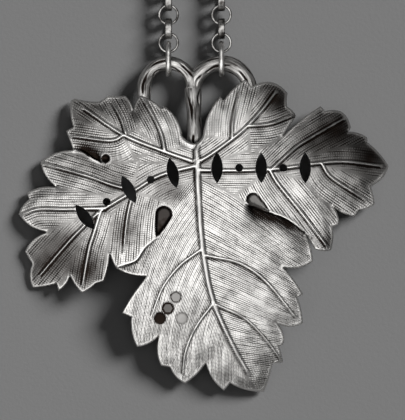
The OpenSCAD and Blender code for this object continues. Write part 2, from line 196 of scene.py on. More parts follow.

# Patches of dark patina and of painted shade, on lobes that turn from the light and under overlapping edges:
# middle, radius and strength.
PATINA_AND_SHADE = [
    [[15.5, 18.0], 5.8, 0.995], [[27.5, 12.0], 8.0, 0.995], [[34.0, 6.5], 5.2, 0.992], [[12.0, -38.5], 2.6, 0.6],
    [[22.0, 9.0], 5.0, 0.78], [[25.6, -10.6], 3.4, 0.9], [[31.0, 0.0], 5.0, 0.65], [[-31.0, -15.0], 7.0, 0.93],
    [[-22.5, -16.0], 6.0, 0.97], [[-27.5, -10.0], 5.0, 0.75], [[-23.5, 14.5], 6.5, 0.85], [[-13.5, 16.5], 5.0, 0.87],
    [[-6.5, 10.5], 4.0, 0.45], [[-21.0, 5.5], 4.5, 0.8], [[-14.5, -8.0], 5.5, 0.85], [[-6.0, 0.0], 5.5, 0.8],
    [[-16.0, 2.5], 4.5, 0.7], [[-27.0, 3.5], 4.0, 0.5], [[-30.0, -4.0], 5.0, 0.4]]

# Patches of painted highlight, where the silver is made brighter, given in the same way.
PAINTED_SHEEN = [[[5.0, 14.0], 4.0, 0.42], [[-6.0, 12.5], 3.5, 0.3], [[12.5, -24.0], 5.0, 0.2]]

# Teardrop hollows: round end, its radius, pointed end, darkness; the power of their taper.
# Round pits: middle, radius, depth.
HOLLOWS = [[[-7.2, -4.9], 1.7, [-8.7, -9.5], 0.41], [[10.6, -1.9], 1.35, [13.9, -4.3], 0.26]]
DROP_TAPER = 0.7
PITS = [[[-18.8, 6.3], 0.8, 0.45]]
# Blank round punches: middle, radius, depth, darkness.
PUNCHES = [
    [[-4.8, -21.4], 1.1, 0.16, 0.15], [[-6.4, -23.6], 1.15, 0.18, 0.32],
    [[-8.0, -25.6], 1.1, 0.20, 0.46], [[-3.6, -25.6], 1.2, 0.06, 0.0]]
# Darkness of a punch's ring, and what it gains from the darkness of the punch.
RING_DARK, RING_GAIN = 0.25, 2

# Pierced band: number of ovals, and the gap between two of them that has no hole, at the midrib.
OVALS, RIB_GAP = 6, 2
# Its row: both ends, its level, and its peak, with the slope on the left of that.
ROW_START, ROW_END, ROW_TOP, ROW_PEAK, ROW_SLOPE = -23, 21, 4.4, 3, 0.0145

# Stem in the drawing: the stalk's line, its end at the notch, and the level of both eyes' tops.
STALK_LINE, STALK_FOOT, EYE_LEVEL = -1.4, (-1.0, 8.8), 25.4
# Point of the drawing under the top of the leaf's dome.
DOME_TOP = np.array([1.5, -6.0])
# Radius of the thickest stem of the frame, whose lowest side gives the stem's height.
CAD_STEM_R = 1.4
# How deep the stalk is set in the leaf's back, and the filling between the two stems at their fork.
STALK_SET, WEB_REACH, WEB_END = 0.3, 2.6, 0.8
# Points of a loop's arc, tail and root, of the stalk and of the web, and around each.
ARC_STEPS, TAIL_STEPS, ROOT_STEPS, STALK_STEPS, WEB_STEPS, AROUND = 61, 13, 6, 41, 21, 32
# Where a root runs, in shares of the way from its loop to the stalk's foot; where stalk and web start.
ROOT_FROM, ROOT_TO, STALK_FROM, WEB_FROM = 0.6, 0.1, -0.12, -0.4
# Thickness of the stem along its way: height and turns of the stalk's and the loops' lumps; share at a root.
STALK_LUMPS, LOOP_LUMPS, ROOT_SHARE, ROOT_TURNS = (0.07, 0.5, 8), (0.05, 0, 17), 0.86, 8
# Rounds that soften the skin, share of a move in each, least radius at an end, and distance of calm at the fork.
SOFT_ROUNDS, SOFT_SHARE, END_SHARE, FORK_CALM = 16, 0.5, 0.02, 2.4
# Wavering of the bark's cuts: height, turn to the millimetre, and share of the seed.
BARK_WAVES = [(0.2, 0.45, 1), (0.1, 1.4, 2)]
# Cuts of the bark: number to a half turn, start and width. Knots in it: height, turn to the millimetre, bend
# around the stem, and the least depth between them.
CUT_TURNS, CUT_START, CUT_WIDTH = 2.5, 1.2, 0.45
KNOT_H, KNOT_ALONG, KNOT_AROUND, KNOT_LEAST = 0.6, 1.1, 2.5, 0.1
# Grain of the bark to the millimetre along the stem, and around it.
GRAIN_ALONG, GRAIN_AROUND = 0.25, 2.2
# Angles in degrees past which an edge is sharp.
LEAF_CREASE, STEM_CREASE = 60, 75
# Pieces of each curved edge of the margin.
RIM_STEPS = 9

# Noise of the finishes: features to the metre and detail, then a range of it and what that becomes.
WEAR, CLOUDS, SPOTS = (900, 3, 0.35, 0.65, 0.65, 1.0), (160, 4, 0.45, 0.75, 0.0, 0.18), (700, 3, 0.62, 0.72, 0.0, 0.2)
BARE, LEAF_ROUGH = (260, 4, 0.3, 0.7, 1.3, 0.7), (400, 3, 0.3, 0.7, 0.24, 0.32)
WIRE_CLOUDS, WIRE_ROUGH = (700, 4, 0.35, 0.65), (1200, 3, 0.3, 0.7, 0.28, 0.42)
FLOOR_GRAIN = (900, 2, 0.3, 0.7, 0.0, 0.06)
# Ranges of other values and what they become: streaks, patina and painted shade in cuts, painted shade of folds,
# soil and gloss of the bark.
SCORED, PATINA_SHADE_CUT, FOLD_SHADE_RANGE = (0.36, 0.64, 0.35, 1.15), (0.0, 0.5, 1.6, 0.25), (0.18, 1.1, 0.0, 0.95)
BARK_SOIL, BARK_ROUGH = (0.36, 0.66, 0.25, 0.92), (0.3, 0.7, 0.4, 0.58)
# Engraved lines: sharpness; streaks to a row and to a bead; depth of beads, bare, and what patina and painted
# shade add.
SHARPNESS, STREAK_ROW, STREAK_BEAD, DOT_BARE, DOT_PATINA_AND_SHADE = 0.85, 0.9, 0.07, 0.3, 0.35
# Soil and painted shade: where rows fade, in cuts, in grooves with the painted shade beside veins, fraying of a
# fold's painted shade; patina and painted shade on shine, and what matting adds.
EVEN_SOIL, CUT_SOIL, GROOVE_SOIL_AND_SHADE, FRAY, PATINA_SHADE_ON_SHINE, PATINA_SHADE_MATT = 0.3, 2.0, 0.9, 0.8, 0.25, 0.75
# Detail of the streaks in the leaf's rows and in the bark.
STREAK_DETAIL, BARK_DETAIL = 2.0, 3.0
# Roughness that matting adds, and the floor's.
MATT_ROUGH, FLOOR_ROUGH = 0.16, 0.9
# Bumps: distance in metres and strength. Noise of the wire's and the floor's bumps.
CUT_BUMP, BARK_BUMP, WIRE_BUMP, FLOOR_BUMP = (0.00006, 0.9), (0.0002, 0.8), (0.00003, 0.5), (0.0001, 0.3)
WIRE_PITS, FLOOR_PITS = (2500, 3), (1500, 3)
# Least and most soil of the rings and of the links.
RING_SOIL, LINK_SOIL = (0.1, 0.5), (0.45, 0.95)

# Lamps in metres: place from the point that the camera is aimed at, and width and height. The key's angle.
SOFT_PLACE, SOFT_SIZE = (-0.09, -0.06, 0.42), (0.62, 0.84)
FILL_PLACE, FILL_SIZE = (-0.1, 0.1, 0.5), (0.5, 0.5)
KEY_PLACE, KEY_ANGLE = (0.48, 0.30, 0.345), math.radians(22)
# Greys: of the world as light, of the world as seen or mirrored, and of the floor's grain.
WORLD_LIGHT, WORLD_SEEN, GRAIN_GREY = 0.02, 0.1, 0.2
# Half the floor's side, its level, and the camera's farthest view, in metres.
FLOOR_HALF, FLOOR_LEVEL, CLIP_END = 30, -0.00005, 50


def size_prop(name, default, text):
    """A length that a user can change, given here in millimetres."""
    return bpy.props.FloatProperty(name=name, description=text, default=default * MM, min=0.0,
                                   unit="LENGTH", precision=5)


def power_prop(name, default, text):
    """A lamp's power that a user can change."""
    return bpy.props.FloatProperty(name=name, description=text, default=default, min=0.0, unit="POWER")


def colour_prop(name, default, text):
    """A colour that a user can change."""
    return bpy.props.FloatVectorProperty(name=name, description=text, default=default, size=3,
                                         min=0.0, max=1.0, subtype="COLOR")


class LeafSettings(bpy.types.PropertyGroup):
    """Sizes and colours of the leaf."""
    sheet: size_prop("Sheet", 1.1, "Thickness of the cast sheet")
    dome: size_prop("Dome radius", 97.0, "Radius that the leaf is raised to")
    step: size_prop("Mesh step", 0.29, "Distance between points of the leaf's surface")
    vein_h: size_prop("Vein height", 0.5, "Height of the midrib above the sheet")
    groove: size_prop("Vein groove", 0.16, "Depth of the line that is cut beside each vein")
    puff: size_prop("Puff", 0.25, "Swelling of the fields between the veins")
    ripple: size_prop("Ripple", 0.022, "Height of each of the slow waves of the sheet")
    row_pitch: size_prop("Matting rows", 0.47, "Distance between rows of the beaded matting")
    bead_pitch: size_prop("Matting beads", 0.44, "Distance between beads of a row")
    hollow: size_prop("Hollow depth", 0.6, "Depth of the teardrop hollows")
    oval_h: size_prop("Oval height", 6.2, "Height of a pierced oval")
    oval_w: size_prop("Oval width", 2.3, "Width of a pierced oval")
    bead: size_prop("Bead hole", 1.6, "Diameter of the hole between two ovals")
    silver: colour_prop("Silver", (0.88, 0.865, 0.84), "Colour of clean silver")
    # Tarnish, which is also the colour of the painted shade under folds, beside veins and in the patches.
    tarnish: colour_prop("Tarnish", (0.014, 0.010, 0.008), "Colour of the tarnish in recesses")


class StemSettings(bpy.types.PropertyGroup):
    """Sizes of the vine stem."""
    left_r: size_prop("Left eye", 4.9, "Radius of the left eye")
    right_r: size_prop("Right eye", 5.7, "Radius of the right eye")
    left_d: size_prop("Left stem", 2.7, "Thickness of the left stem")
    right_d: size_prop("Right stem", 3.1, "Thickness of the right stem")
    stalk_d: size_prop("Stalk", 3.2, "Thickness of the stalk")
    tail: size_prop("Tail", 4.0, "Reach of the stem behind a lobe")
    bark: size_prop("Bark", 0.28, "Depth of the bark grooves")
    voxel: size_prop("Skin step", 0.14, "Distance between points of the stem's skin")


class StageSettings(bpy.types.PropertyGroup):
    """Floor, light and camera."""
    floor: colour_prop("Floor", (0.195, 0.195, 0.195), "Colour of the floor")
    soft_power: power_prop("Soft box", 2.95, "Power of the soft box")
    key_strength: bpy.props.FloatProperty(name="Key", description="Strength of the distant lamp at the right",
                                          default=5.35, min=0.0)
    fill_power: power_prop("Fill", 0.04, "Power of the lamp overhead")
    camera_h: size_prop("Camera height", 1000.0, "Height of the camera over the label")


def groups():
    """The three groups of settings of the scene."""
    scene = bpy.context.scene
    return scene.label_leaf, scene.label_stem, scene.label_stage


def settings():
    """The values of the three groups, with lengths in millimetres."""
    def read(group, key):
        """One value of a group."""
        value = getattr(group, key)
        return value / MM if group.bl_rna.properties[key].unit == "LENGTH" else value

    return [SimpleNamespace(**{key: read(group, key) for key in group.__annotations__}) for group in groups()]


# Plane geometry on whole arrays of points


def smooth_path(points, per_span=SPAN):
    """Catmull-Rom curve through the points: a cubic in each span, set by the two neighbours of the span."""
    p = np.asarray(points, float)
    padded = np.vstack([2 * p[0] - p[1], p, 2 * p[-1] - p[-2]])
    t = np.linspace(0, 1, per_span, endpoint=False)[None, :, None]
    a, b, c, d = (padded[k:k + len(p) - 1, None, :] for k in range(4))
    cubic = b + 0.5 * t * (c - a + t * (2 * a - 5 * b + 4 * c - d + t * (3 * (b - c) + d - a)))
    return np.vstack([cubic.reshape(-1, p.shape[1]), p[-1:]])


def even_path(points, step):
    """The smooth curve through the points, at even steps along it."""
    fine = smooth_path(points, FINE_SPAN)
    way = path_way(fine)
    at = np.linspace(0, way[-1], max(4, int(way[-1] / step) + 1))
    return np.stack([np.interp(at, way, fine[:, k]) for k in range(fine.shape[1])], -1)


def path_way(path):
    """Distance along a path, at its points."""
    return np.concatenate([[0], np.cumsum(np.linalg.norm(np.diff(path, axis=0), axis=1))])


def lengthened(path, reach):
    """The path with a straight piece added at each end."""
    first, last = path[0] - path[1], path[-1] - path[-2]
    return np.vstack([path[0] + first * reach / np.linalg.norm(first), path,
                      path[-1] + last * reach / np.linalg.norm(last)])


def sideways(path):
    """Unit vectors to the left of a path, at its points."""
    run = np.gradient(path, axis=0)
    return np.stack([-run[:, 1], run[:, 0]], -1) / np.linalg.norm(run, axis=1)[:, None]


def bulged_edges(rows, steps):
    """Each row's edge to the next, swelling sideways by four times its bulge times t times one minus t."""
    start, end = rows[:, None, :2], np.roll(rows, -1, axis=0)[:, None, :2]
    t = (np.arange(steps) / steps)[None, :, None]
    along = end - start
    across = np.stack([-along[..., 1], along[..., 0]], -1)
    return (start + along * t + across * 4 * rows[:, None, 2:] * t * (1 - t)).reshape(-1, 2)


def to_segments(points, path, block=BLOCK):
    """Distance of each point to a path, the share of the way along it, and the side: positive on the left."""
    a, run = path[:-1], np.diff(path, axis=0)
    length = np.linalg.norm(run, axis=1)
    start = np.concatenate([[0], np.cumsum(length)[:-1]])
    near, share, side = (np.empty(len(points)) for _ in range(3))
    for k in range(0, len(points), block):
        rel = points[k:k + block, None, :] - a[None]
        t = np.clip((rel * run).sum(-1) / (length ** 2), 0, 1)
        gap = rel - t[..., None] * run
        d2 = (gap ** 2).sum(-1)
        best = d2.argmin(1)
        row = np.arange(len(best))
        near[k:k + block] = np.sqrt(d2[row, best])
        share[k:k + block] = (start[best] + t[row, best] * length[best]) / length.sum()
        side[k:k + block] = run[best, 0] * rel[row, best, 1] - run[best, 1] * rel[row, best, 0]
    return near, share, np.sign(side)


def inside(points, ring, block=BLOCK):
    """Whether each point is inside a closed ring: a ray to the right crosses the ring an odd number of times."""
    a, b = ring, np.roll(ring, -1, axis=0)
    rise = np.where(a[:, 1] == b[:, 1], 1e-12, b[:, 1] - a[:, 1])
    out = np.empty(len(points), bool)
    for k in range(0, len(points), block):
        x, y = points[k:k + block, :1], points[k:k + block, 1:]
        spans = (a[:, 1] > y) != (b[:, 1] > y)
        out[k:k + block] = (spans & (x < a[:, 0] + (y - a[:, 1]) / rise * (b[:, 0] - a[:, 0]))).sum(1) % 2 == 1
    return out


def ease(x):
    """Smooth step from 0 to 1."""
    x = np.clip(x, 0, 1)
    return x * x * (3 - 2 * x)


def bell(x, width):
    """Bell curve of the given width."""
    return np.exp(-(x / width) ** 2)


def band(x, place, width):
    """Bell curve about a place."""
    return bell(x - place, width)


def away(points, middle):
    """Distance of points from a middle."""
    return np.linalg.norm(points - np.array(middle), axis=1)


def closed(ring):
    """The ring as a path that ends where it starts."""
    return np.vstack([ring, ring[:1]])


# The leaf


def row_level(x):
    """Level of the pierced band's row: flat on the right of its peak, a parabola on the left."""
    return ROW_TOP - ROW_SLOPE * np.minimum(x - ROW_PEAK, 0) ** 2


def row_places():
    """Middles and turns of the pierced ovals, and middles of the round holes, along the band's row."""
    x = ROW_START + (ROW_END - ROW_START) * np.arange(OVALS) / (OVALS - 1)
    between = np.delete((x[1:] + x[:-1]) / 2, RIB_GAP)
    turn = np.arctan(-2 * ROW_SLOPE * np.minimum(x - ROW_PEAK, 0))
    return np.stack([x, row_level(x)], -1), turn, np.stack([between, row_level(between)], -1)


def pierced_rings(leaf):
    """Closed rings of the openings: pointed ovals of two arcs, and circles."""
    middles, turns, beads = row_places()
    r = (leaf.oval_h ** 2 + leaf.oval_w ** 2) / (4 * leaf.oval_w)
    half = math.asin(leaf.oval_h / 2 / r)
    a = np.linspace(-half, half, ARC_POINTS + 1)[:-1]
    arc = np.stack([r * np.cos(a) - r + leaf.oval_w / 2, r * np.sin(a)], -1)
    oval = np.vstack([arc, -arc])
    rings = []
    for middle, turn in zip(middles, turns):
        c, s = math.cos(turn), math.sin(turn)
        rings.append(oval @ np.array([[c, s], [-s, c]]) + middle)
    b = np.linspace(0, TAU, HOLE_POINTS + 1)[:-1]
    rings += [m + leaf.bead / 2 * np.stack([np.cos(b), np.sin(b)], -1) for m in beads]
    return rings


def vein_half(half, t):
    """Half the width of a vein at a share of the way along it."""
    return half * (1 - VEIN_TAPER * t)


def relief_rows(leaf):
    """Rows of points along veins and folds, so that each crest, side and cut line has its own points."""
    rows = []
    for half, points in VEINS:
        path = even_path(points, leaf.step)
        w = vein_half(half, np.linspace(0, 1, len(path)))
        rows += [path + sideways(path) * (share * w + past)[:, None] for share, past in VEIN_NET]
    for _, points in FOLDS:
        path = even_path(points, leaf.step)
        rows += [path + sideways(path) * past for past in FOLD_NET]
    points = np.vstack(rows)
    _, first = np.unique(np.round(points / (ROW_MERGE * leaf.step)), axis=0, return_index=True)
    return points[np.sort(first)]


def rim_rows(leaf, rim):
    """Rows of points at set distances inside the clockwise margin, left out where the margin is too narrow."""
    path = closed(rim)
    way = path_way(path)
    at = np.arange(0, way[-1], leaf.step)
    points = np.stack([np.interp(at, way, path[:, k]) for k in range(2)], -1)
    run = np.roll(points, -1, axis=0) - np.roll(points, 1, axis=0)
    inward = np.stack([run[:, 1], -run[:, 0]], -1) / np.linalg.norm(run, axis=1)[:, None]
    rows = [points + past * inward for past in RIM_NET]
    rows = np.vstack([row[to_segments(row, path)[0] > RIM_KEPT * past] for row, past in zip(rows, RIM_NET)])
    return rows[relief_gap(rows) > RIM_CLEAR * leaf.step]


def relief_gap(xy):
    """Distance of points to the nearest rows of a vein or a fold, negative among them."""
    gap = np.full(len(xy), FAR)
    for half, points in VEINS:
        d, t, _ = to_segments(xy, smooth_path(points))
        gap = np.minimum(gap, d - vein_half(half, t) - VEIN_NET[-1][1])
    for _, points in FOLDS:
        gap = np.minimum(gap, to_segments(xy, smooth_path(points))[0] - FOLD_NET[-1])
    return gap


def leaf_plan(leaf, rim):
    """Flat triangles of the leaf: even points and rows along the relief, inside the margin and off the openings."""
    rings = [rim] + pierced_rings(leaf)
    step = leaf.step
    low, high = rim.min(0), rim.max(0)
    rows = np.arange(low[1], high[1], step * math.sqrt(3) / 2)
    cols = np.arange(low[0], high[0], step)
    x, y = np.meshgrid(cols, rows)
    x = x + step / 2 * (np.arange(len(rows)) % 2)[:, None]
    net = np.stack([x, y], -1).reshape(-1, 2)
    net = net[inside(net, rim)]
    net = net[to_segments(net, closed(rim))[0] > RIM_NET[-1] + NET_CLEAR * step]
    net = np.vstack([net[relief_gap(net) > NET_CLEAR * step], relief_rows(leaf), rim_rows(leaf, rim)])
    net = net[inside(net, rim)]
    for ring in rings:
        net = net[to_segments(net, closed(ring))[0] > NET_CLEAR * step]
    for ring in rings[1:]:
        net = net[~inside(net, ring)]
    points = np.vstack(rings + [net])
    edges, first = [], 0
    for ring in rings:
        k = np.arange(len(ring))
        edges.append(np.stack([first + k, first + (k + 1) % len(ring)], -1))
        first += len(ring)
    flat, _, faces, _, _, _ = delaunay_2d_cdt(points.tolist(), np.vstack(edges).tolist(), [], 0, WELD, False)
    flat, faces = np.array(flat), np.array(faces)
    middles = flat[faces].mean(1)
    kept = inside(middles, rim)
    for ring in rings[1:]:
        kept &= ~inside(middles, ring)
    return flat, faces[kept]


def vein_relief(leaf, xy):
    """Height of round ridges, the burnish on them with a painted highlight on one side, the cut lines beside them
    with painted shade on that side, the dull top of the midrib and the distance to a vein.
    """
    ridge, burnish_and_highlight, line, dull = (np.zeros(len(xy)) for _ in range(4))
    near = np.full(len(xy), FAR)
    for half, points in VEINS:
        d, t, side = to_segments(xy, smooth_path(points))
        w = vein_half(half, t)
        power, polish = MIDRIB_FORM if half == MIDRIB else VEIN_FORM
        crest = np.clip(1 - (d / w) ** power, 0, 1) ** (1 / power)
        size = VEIN_LEAST + (1 - VEIN_LEAST) * half / MIDRIB
        ridge = np.maximum(ridge, leaf.vein_h * size * (1 - VEIN_FALL * t) * crest)
        path = even_path(points, SIDE_STEP)
        left = np.stack([np.interp(t, np.linspace(0, 1, len(path)), v) for v in sideways(path).T], -1)
        towards = np.clip(SIDE_GAIN * side * (left @ PAINTED_LIGHT_SIDE), -1, 1)
        one_side = ONE_SIDE[0] + ONE_SIDE[1] * towards
        lit = LIT[0] + LIT[1] * towards * np.clip(LIT_GAIN * d / w, 0, 1)
        burnish_and_highlight = np.maximum(burnish_and_highlight, polish * lit * np.clip(CREST_GAIN * crest, 0, 1))
        if half == MIDRIB:
            dull = np.maximum(dull, bell(d / w, DULL_WIDTH))
        line = np.maximum(line, band(d - w, *CUT_LINE) * (1 - VEIN_FALL * t) * one_side)
        near = np.minimum(near, d)
    return ridge, burnish_and_highlight, line * (ridge < RIDGE_LEAST), dull, near


def keel(xy):
    """Height of the lobes' keels: it falls off with the distance to the main veins, a soft least distance that is
    rounded off within a millimetre.
    """
    closeness = sum(np.exp(-to_segments(xy, smooth_path(VEINS[k][1]))[0] / KEEL_SOFT) for k in KEELS)
    near = np.maximum(-KEEL_SOFT * np.log(closeness), 0)
    return KEEL_H * (np.exp(-(np.sqrt(near ** 2 + 1) - 1) / KEEL_FADE) - KEEL_SINK)


def ripple(leaf, xy):
    """Height of the sheet's slow waves: the sum of some sines."""
    return leaf.ripple * np.sin(TAU * xy @ WAVES[:, :2].T + WAVES[:, 2]).sum(1)


def fold_relief(xy):
    """Drop of the covered lobe beside each fold, a steep step that fades away from it, the hem above it and the
    painted shade below it.
    """
    drop, hem, shade = (np.zeros(len(xy)) for _ in range(3))
    for share, points in FOLDS:
        path = smooth_path(points)
        d, t, side = to_segments(xy, path)
        to_end = (1 - t) * path_way(path)[-1]
        mouth = FOLD_MOUTH + (1 - FOLD_MOUTH) * ease(t / MOUTH_WAY)
        ends = mouth * ease(to_end / (FOLD_END + END_SPREAD * d) + END_KEPT * bell(d, 1))
        drop = np.maximum(drop, np.where(side > 0, share * ease(d / FOLD_STEP) * np.exp(-d / FOLD_FADE), 0) * ends)
        hem = np.maximum(hem, np.where(side > 0, 0, band(d, *HEM)) * ends)
        shade = np.maximum(shade, np.where(side > 0, share * bell(d, FOLD_SHADE), 0) * ends)
    return FOLD_DROP * drop, hem, np.clip(SHADE_GAIN * shade, 0, 1)


def teardrop(xy, round_end, r, point):
    """Signed distance to a teardrop: a round end that tapers to a point."""
    a, b = np.array(round_end), np.array(point)
    run = b - a
    t = np.clip(((xy - a) @ run) / (run @ run), 0, 1)
    return np.linalg.norm(xy - a - t[:, None] * run, axis=1) - r * (1 - t) ** DROP_TAPER


def recess_relief(leaf, xy):
    """Depth and darkness of hollows, pits and punches, and the raised lip of the hollows."""
    deep, dark, lip = (np.zeros(len(xy)) for _ in range(3))
    for *shape, shade in HOLLOWS:
        sd = teardrop(xy, *shape)
        deep = np.maximum(deep, leaf.hollow * ease(-sd / HOLLOW_WALL))
        dark = np.maximum.reduce([dark, shade * ease(0.5 - sd / DARK_FADE), band(sd, *HOLLOW_RING)])
        lip = np.maximum(lip, band(sd, *HOLLOW_LIP))
    for middle, r, depth in PITS:
        sd = away(xy, middle) - r
        deep = np.maximum(deep, depth * ease(-sd / PIT_WALL))
        dark = np.maximum(dark, ease(0.5 - sd / DARK_FADE))
        lip = np.maximum(lip, band(sd, *PIT_LIP))
    for middle, r, depth, shade in PUNCHES:
        sd = away(xy, middle) - r
        floor, ring = ease(0.5 - sd / PUNCH_WALL), min(1, RING_DARK + RING_GAIN * shade)
        deep = np.maximum(deep, depth * floor)
        dark = np.maximum.reduce([dark, shade * floor, ring * band(sd, *PUNCH_RING)])
    return deep, dark, lip


def patches(xy, spots):
    """Strength of soft round patches that join."""
    bare = np.ones(len(xy))
    for middle, radius, strength in spots:
        bare *= 1 - strength * bell(away(xy, middle), radius)
    return 1 - bare


def matting(leaf, xy, faces):
    """Counts of matting rows and of beads along them.

    On the centre lobe a row is a curve of the distance from the axis, and on the others it runs at an even
    distance from the nearest vein, spreading outwards. The last value is 0 where a triangle lies on two fields,
    so that the rows fade there.
    """
    path = lengthened(smooth_path(CENTRE_AXIS), AXIS_REACH)
    d, t, side = to_segments(xy, path)
    slope, curl = np.where((side > 0)[:, None], *CENTRE_ROWS).T
    steep = np.sqrt(1 + (slope + 2 * curl * d) ** 2)
    rows = (t * path_way(path)[-1] - slope * d - curl * d * d) / leaf.row_pitch * steep ** -0.5
    beads = d * steep ** 0.5 / leaf.bead_pitch
    centre = xy[:, 1] < np.interp(xy[:, 0], *CENTRE_LIMIT.T)
    best = np.where(centre, 0.0, FAR)
    for k, weight in ROW_VEINS.items():
        path = smooth_path(VEINS[k][1])
        own, t, _ = to_segments(xy, path)
        own *= weight * np.where(t > 0, 1, BEHIND)
        path = lengthened(path, AXIS_REACH)
        d, t, side = to_segments(xy, path)
        won = own < best
        best = np.where(won, own, best)
        pitch = leaf.row_pitch * (ROW_START_PITCH + ROW_GAIN * t)
        rows = np.where(won, side * d / pitch + FIELD_ROWS * k, rows)
        beads = np.where(won, t * path_way(path)[-1] / leaf.bead_pitch, beads)
    whole = np.ones(len(xy))
    torn = np.ptp(rows[faces], axis=1) > TORN
    whole[faces[torn].ravel()] = 0
    whole *= np.where(centre, 1, 1 - BAND_CALM * bell(xy[:, 1] - row_level(xy[:, 0]), BAND_REACH))
    for middle, r, *_ in PUNCHES:
        whole *= ease((away(xy, middle) - r) / ROW_FADE + 0.5)
    for *shape, _ in HOLLOWS:
        whole *= ease(teardrop(xy, *shape) / ROW_FADE + 0.5)
    return rows, beads, whole


def dome_base(leaf, rim):
    """Level of the dome's middle: the rim of the smaller dome, of the back, touches the table at its farthest."""
    return -math.sqrt((leaf.dome - leaf.sheet) ** 2 - away(rim, DOME_TOP).max() ** 2)


def leaf_surface(leaf, xy, faces, rim):
    """Heights of front and back over the table, and the finish values with their painted shade and painted
    highlights, at points of the leaf.

    The front is a dome, plus ridges and cut lines, swelling fields, folds and recesses, less its rounded rim.
    The back is the smaller dome, which follows the folds.
    """
    base = dome_base(leaf, rim)
    away2 = ((xy - DOME_TOP) ** 2).sum(1)
    edge = to_segments(xy, closed(rim))[0]
    ridge, burnish_and_highlight, line, dull, near_vein = vein_relief(leaf, xy)
    deep, dark, lip = recess_relief(leaf, xy)
    drop, hem, shade = fold_relief(xy)
    lobes = keel(xy)
    calm = np.minimum(near_vein, edge)
    puff = leaf.puff * (1 - bell(calm, PUFF_REACH)) - EDGE_DROP * bell(edge, EDGE_REACH)
    collar = band(edge, *COLLAR) * bell(away(xy, MARGIN[0, :2]), COLLAR_REACH)
    crest = band(edge, *RIM_CREST)
    round_off = ROUND_OFF * (1 - np.sqrt(np.clip(1 - (1 - np.clip(edge / RIM_NET[0], 0, 1)) ** 2, 0, 1)))
    raised = np.maximum.reduce([ridge, COLLAR_H * collar, HEM_H * hem])
    relief = raised - leaf.groove * line + puff + CREST_H * crest + CREST_H * lip - deep - round_off
    relief += ripple(leaf, xy)
    front = base + np.sqrt(leaf.dome ** 2 - away2) + lobes + relief - drop
    back = base + np.sqrt((leaf.dome - leaf.sheet) ** 2 - away2)
    back = back + BACK_SHARE * lobes - np.minimum(drop, BACK_SHARE * drop.max())
    # Patches of patina and painted shade, and patches of painted sheen.
    dark_patina_and_shade, painted_sheen = patches(xy, PATINA_AND_SHADE), patches(xy, PAINTED_SHEEN)
    # Painted highlight along the rim, stronger where there is patina and painted shade.
    painted_rim_highlight = (RIM_HIGHLIGHT[0] + RIM_HIGHLIGHT[1] * dark_patina_and_shade) * crest
    finish_and_light = {
        "groove": np.clip(np.maximum.reduce([LINE_DARK * line, dark, DULL_DARK * dull]), 0, 1),
        # Polish and painted highlight: veins, collar, hem, rim, lips and the patches of painted sheen.
        "polish_and_highlight": np.maximum.reduce([burnish_and_highlight, COLLAR_SHINE * collar, HEM_SHINE * hem, painted_rim_highlight, LIP_SHINE * lip,
                                    painted_sheen]),
        "shade": shade,
        "patina_and_shade": dark_patina_and_shade,
    }
    finish_and_light["rows"], finish_and_light["beads"], finish_and_light["whole"] = matting(leaf, xy, faces)
    return front, np.maximum(back, BACK_LEAST), finish_and_light


def closed_sheet(xy, faces, front, back):
    """Points and triangles of a sheet: front, turned back, and a wall along each edge that only one face has."""
    n = len(xy)
    points = np.vstack([np.column_stack([xy, front]), np.column_stack([xy, back])])
    edges = np.vstack([faces[:, [0, 1]], faces[:, [1, 2]], faces[:, [2, 0]]])
    _, first, count = np.unique(np.sort(edges, 1), axis=0, return_index=True, return_counts=True)
    a, b = edges[first[count == 1]].T
    walls = np.vstack([np.column_stack([a, a + n, b + n]), np.column_stack([a, b + n, b])])
    return points, np.vstack([faces, faces[:, ::-1] + n, walls])


def drawing_to_frame(points, rim):
    """Millimetres of the drawing to metres of the frame: the leaf's box in the frame gives the shift."""
    low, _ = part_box("leaf")
    shift = np.array([low.x, low.y, 0]) - np.append(rim.min(0), 0) * MM
    return np.asarray(points) * MM + shift


def new_piece(name, points, faces, body, material, node, crease):
    """Make a mesh piece in the frame, with its finish, riding on a body of the frame and standing for a node."""
    mesh = bpy.data.meshes.new(name)
    mesh.from_pydata(points.tolist(), [], faces.tolist())
    mesh.validate()
    mesh.shade_smooth()
    mesh.set_sharp_from_angle(angle=math.radians(crease))
    piece = bpy.data.objects.new(name, mesh)
    bpy.context.scene.collection.objects.link(piece)
    mesh.materials.append(material)
    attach(piece, body)
    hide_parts(node)
    return piece


def add_values(piece, values):
    """Store named numbers on the points of a piece, for its material."""
    for name, numbers in values.items():
        layer = piece.data.attributes.new(name, "FLOAT", "POINT")
        layer.data.foreach_set("value", np.asarray(numbers, np.float32))


# Materials


